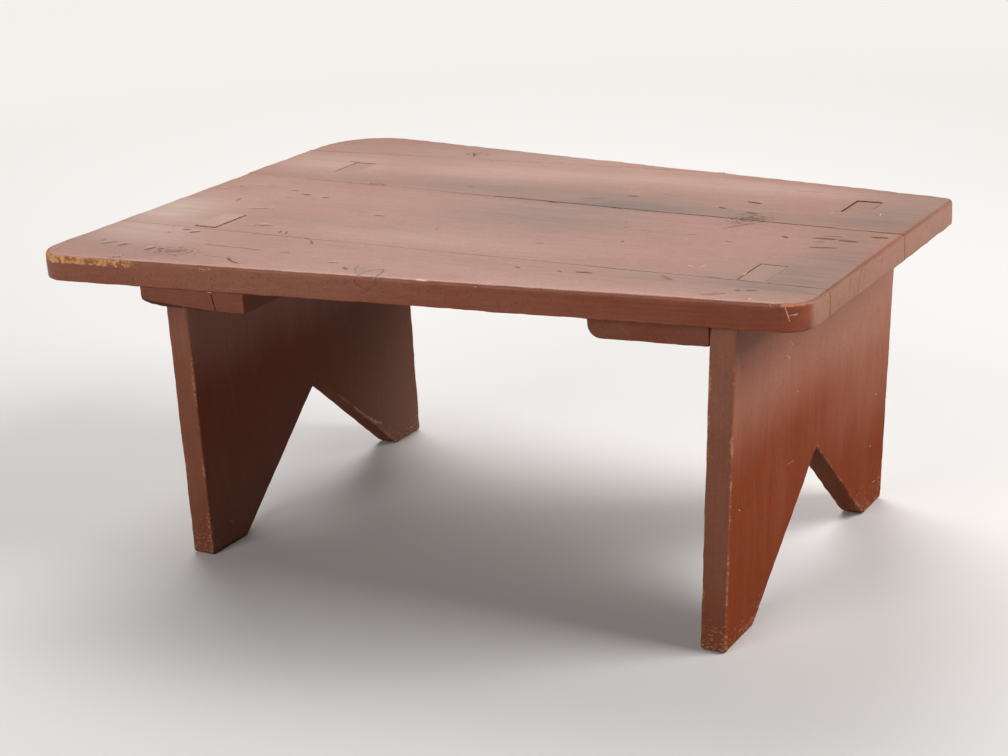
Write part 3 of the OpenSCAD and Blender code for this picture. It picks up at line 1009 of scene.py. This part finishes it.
def make_leg(node, shift, paint_settings, tenon_heights, chips):
    """Dresses a leg, whose grain runs along Z."""
    leg, rounded = rounded_copy(node, (2, 1, 0), 0.03, leg_radius, 0.0035)
    refine_near(leg, chips)
    mark_arrises(leg, rounded, tenon_dirt_and_shade)
    shift_tenon_ends(leg, tenon_heights)
    sink_marks(leg, [], chips)
    complete(leg, node, painted_leg(node + " paint", shift, *paint_settings))


def lay_on_leg(marks, face_x):
    """Marks of a leg's face as lines in space. The x of the face depends on the height."""
    return [((face_x(start[1]), *start), (face_x(end[1]), *end), width, strength)
            for start, end, width, strength in marks]


make_leg("leg_wide_end", (0.12, 0.05, 0.3), (0.0, 0.55, 0.0, 0.35), (0.0006, -0.0003),
         lay_on_leg(WIDE_LEG_CHIPS, lambda z: WIDE_FACE_X - z * WIDE_LEAN))
make_leg("leg_narrow_end", (0.71, 0.33, 0.1), (0.55, 0.25, 1.0, 0.0), (-0.0002, -0.0006),
         lay_on_leg(NARROW_LEG_CHIPS, lambda z: NARROW_FACE_X - (TOP_Z - z) * NARROW_LEAN))


# The battens

# The split in the front end of the wide end's batten, as (x, z), and the chip at its top
BATTEN_SPLIT, BATTEN_CHIP = marks_of([
    (-158.3, 263.2, -155, 246.5, 1, 1.2), (-160, 262.8, -157, 262.8, 1.6, 1.1),
])
# How far the wide end's batten stops short of the top's front edge
BATTEN_SETBACK = 0.001


def batten_radius(middle, normals):
    if middle.z > UNDER_Z - 0.001:
        return 0.0004
    return 0.0016 if any(abs(normal.y) > 0.8 for normal in normals) else 0.0012


def on_batten_front(mark):
    start, end, width, strength = mark
    return (*[(x, line_y(FRONT_EDGE, x) + BATTEN_SETBACK, z) for x, z in (start, end)], width, strength)


def hew_corner(piece, a, b, c):
    """Lifts what lies below a plane through three points up to that plane."""
    a, b, c = (np.array(corner) for corner in (a, b, c))
    down = np.cross(b - a, c - a)
    down *= -np.sign(down[2]) / np.linalg.norm(down)
    points = points_of(piece)
    points -= np.maximum((points - a) @ down, 0.0)[:, None] * down
    piece.data.vertices.foreach_set("co", points.ravel())
    piece.data.update()


def make_batten(node, shift, dark=(), pale=(), corner=None):
    """Dresses a batten, whose grain runs along Y. A corner is three points of the plane
    that it is hewn to."""
    batten, rounded = rounded_copy(node, (1, 0, 2), 0.05, batten_radius, 0.002, fine=0.006)
    if corner:
        refine_near(batten, [*dark, *pale, (corner[0], corner[1], 0.003, 1.0)])
    mark_arrises(batten, rounded, lambda middle, normals: 0.0)
    if corner:
        hew_corner(batten, *corner)
    sink_marks(batten, dark, pale)
    complete(batten, node, painted_batten(node + " paint", shift))


left_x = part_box("batten_wide_end")[0].x
front_y = line_y(FRONT_EDGE, left_x) + BATTEN_SETBACK
slant = line_y(FRONT_EDGE, left_x + 0.070) - line_y(FRONT_EDGE, left_x)
hewn_corner = ((left_x, front_y, UNDER_Z - 0.0105), (left_x + 0.070, front_y + slant, BATTEN_Z + 0.001),
               (left_x, front_y + 0.009, BATTEN_Z))
make_batten("batten_wide_end", (0.2, 0.1, 0.6), [on_batten_front(BATTEN_SPLIT)],
            [on_batten_front(BATTEN_CHIP)], hewn_corner)
make_batten("batten_narrow_end", (0.9, 0.6, 0.2))


# The nails: cut iron, rusted under the paint that was brushed over their heads

def rusty_iron():
    material, n, shader = new_material("painted over iron")
    place = n.add("TexCoord").outputs["Object"]
    rust = n.between(n.noise(place, 420.0, detail=4.0, roughness=0.7), 0.42, 0.6)
    n.feed_all(shader, Base_Color=n.mix(rust, colour("#5a4238"), colour("#7c452c")),
               Roughness=n.spread(rust, 0.45, 0.8), Metallic=n.spread(rust, 0.6, 0.0),
               Normal=n.relief(n.noise(place, 900.0, detail=3.0), 0.0003))
    return material


iron = rusty_iron()
for node in ("nails_wide_end", "nails_narrow_end"):
    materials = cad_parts[node].data.materials
    materials.clear()
    materials.append(iron)


# Floor, light and camera

def pale_floor():
    """Pale to the camera. Bounced light and reflections see it dark near the
    stool, as over a dark cloth, and pale further off."""
    material, n, shader = new_material("pale floor")
    place = n.add("TexCoord").outputs["Object"]
    path = n.add("LightPath")
    seen = path.outputs["Is Camera Ray"]
    away = n.vector("LENGTH", place)
    cloth = n.mix(path.outputs["Is Glossy Ray"], (0.50, 0.48, 0.47, 1.0), (0.03, 0.03, 0.03, 1.0))
    unseen = n.mix(n.between(away, 0.8, 1.3), cloth, (0.75, 0.73, 0.71, 1.0))
    horizon = n.times(seen, n.between(away, 0.5, 2.6))
    near = n.mix(seen, unseen, (0.74, 0.72, 0.70, 1.0))
    black = (0.0, 0.0, 0.0, 1.0)
    n.feed_all(shader, Base_Color=n.mix(horizon, near, black),
               Emission_Color=n.mix(horizon, black, (0.90, 0.87, 0.84, 1.0)), Emission_Strength=1.0,
               Roughness=0.9, Specular_IOR_Level=0.1)
    return material


bpy.ops.object.select_all(action="DESELECT")
bpy.ops.mesh.primitive_plane_add(size=30.0)
floor = bpy.context.object
floor.name = "floor"
floor.data.materials.append(pale_floor())


def soft_light(name, place, target, size, power):
    """A square lamp of a size and power, turned to a target."""
    data = bpy.data.lights.new(name, "AREA")
    data.shape = "SQUARE"
    data.size = size
    data.energy = power
    lamp = bpy.data.objects.new(name, data)
    lamp.location = place
    lamp.rotation_euler = (Vector(target) - Vector(place)).to_track_quat("-Z", "Y").to_euler()
    scene.collection.objects.link(lamp)


soft_light("window light", (-1.1, 1.5, 2.3), (0.0, 0.0, 0.25), 2.2, 75.0)
soft_light("side light", (2.3, 0.5, 1.75), (0.2, 0.0, 0.15), 1.6, 72.0)
soft_light("front light", (-0.4, -2.8, 1.6), (0.0, 0.0, 0.2), 2.0, 44.0)

world = bpy.data.worlds.new("pale room")
world.use_nodes = True
scene.world = world
n = Nodes(world.node_tree)
background = world.node_tree.nodes["Background"]
path = n.add("LightPath")
n.feed(background.inputs["Strength"],
       n.most(path.outputs["Is Camera Ray"], n.times(path.outputs["Is Glossy Ray"], 0.9), 0.5))

camera_data = bpy.data.cameras.new("camera")
camera_data.sensor_width = 36.0
camera_data.lens = 73.54
camera = bpy.data.objects.new("camera", camera_data)
scene.collection.objects.link(camera)
scene.camera = camera
# Where the camera stands, and how far it turns to the left, looks down and leans over
azimuth, elevation, roll = (math.radians(angle) for angle in (30.435, 18.470, -3.086))
camera.matrix_world = (Matrix.Translation((0.8491, -1.4830, 0.7093)) @ Matrix.Rotation(azimuth, 4, "Z")
                       @ Matrix.Rotation(math.pi / 2 - elevation, 4, "X") @ Matrix.Rotation(roll, 4, "Z"))

scene.view_settings.view_transform = "Standard"
